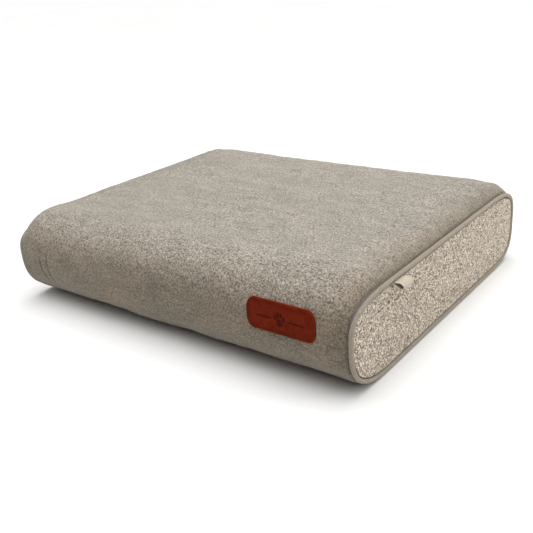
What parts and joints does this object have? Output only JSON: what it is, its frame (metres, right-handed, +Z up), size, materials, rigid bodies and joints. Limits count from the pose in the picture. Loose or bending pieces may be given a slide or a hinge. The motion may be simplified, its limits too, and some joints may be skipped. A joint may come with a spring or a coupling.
{
  "type": "pet cushion bed",
  "caption": "Rounded rectangular foam pet mattress in a plush cover with looped end panels, piping, a leather label, a ribbon loop and a back zip.",
  "frame": {"origin": "on the floor plane, on the underside's flat face, under the middle of the cover (the ribbon loop is not counted)", "axes": "+Z up, +X along the width to the end with the ribbon loop, -Y to the front with the label"},
  "size_m": [0.6134, 0.5149, 0.1375],
  "materials": {
    "plush": "short-pile brushed plush",
    "boucle": "looped boucle weave",
    "welt": "smooth twill bias tape",
    "filler": "matt cotton cord",
    "ribbon": "satin ribbon",
    "leather": "semi-matt grained leather",
    "grip_cloth": "matt cloth with rubber dots",
    "zip_tape": "herringbone woven tape",
    "zip_coil": "satin nylon",
    "zip_metal": "antique plated zinc",
    "liner": "waterproof coated cloth",
    "comfort_foam": "open-cell foam",
    "support_foam": "open-cell foam"
  },
  "bodies": {
    "bed": {"cover_wrap": "plush", "base_panel": "grip_cloth", "side_panel_left": "boucle", "side_panel_right": "boucle", "piping_cover_left": "welt", "piping_cover_right": "welt", "piping_cord_left": "filler", "piping_cord_right": "filler", "leather_label": "leather", "zip_tape_upper": "zip_tape", "zip_tape_lower": "zip_tape", "zip_coil_upper": "zip_coil", "zip_coil_lower": "zip_coil", "zip_top_stop_upper": "zip_metal", "zip_top_stop_lower": "zip_metal", "zip_bottom_stop": "zip_metal", "inner_liner": "liner", "foam_top": "comfort_foam", "foam_base": "support_foam"},
    "slider": {"zip_slider": "zip_metal"},
    "pull": {"zip_pull": "zip_metal"},
    "loop": {"loop_tab": "ribbon"}
  },
  "joints": [
    {"name": "zip_slide", "type": "slide", "parent": "bed", "child": "slider", "axis": [1, 0, 0], "range_m": [0, 0.527]},
    {"name": "pull_swing", "type": "hinge", "parent": "slider", "child": "pull", "pos_m": [-0.2647, 0.25578, 0.03976], "axis": [0, 0.1395, 0.9902], "range_deg": [0, 150]},
    {"name": "loop_bend", "type": "hinge", "parent": "bed", "child": "loop", "pos_m": [0.2992, -0.143, 0.1145], "axis": [0, -1, 0], "range_deg": [-50, 45], "stiffness_Nm_per_rad": 0.001}
  ]
}
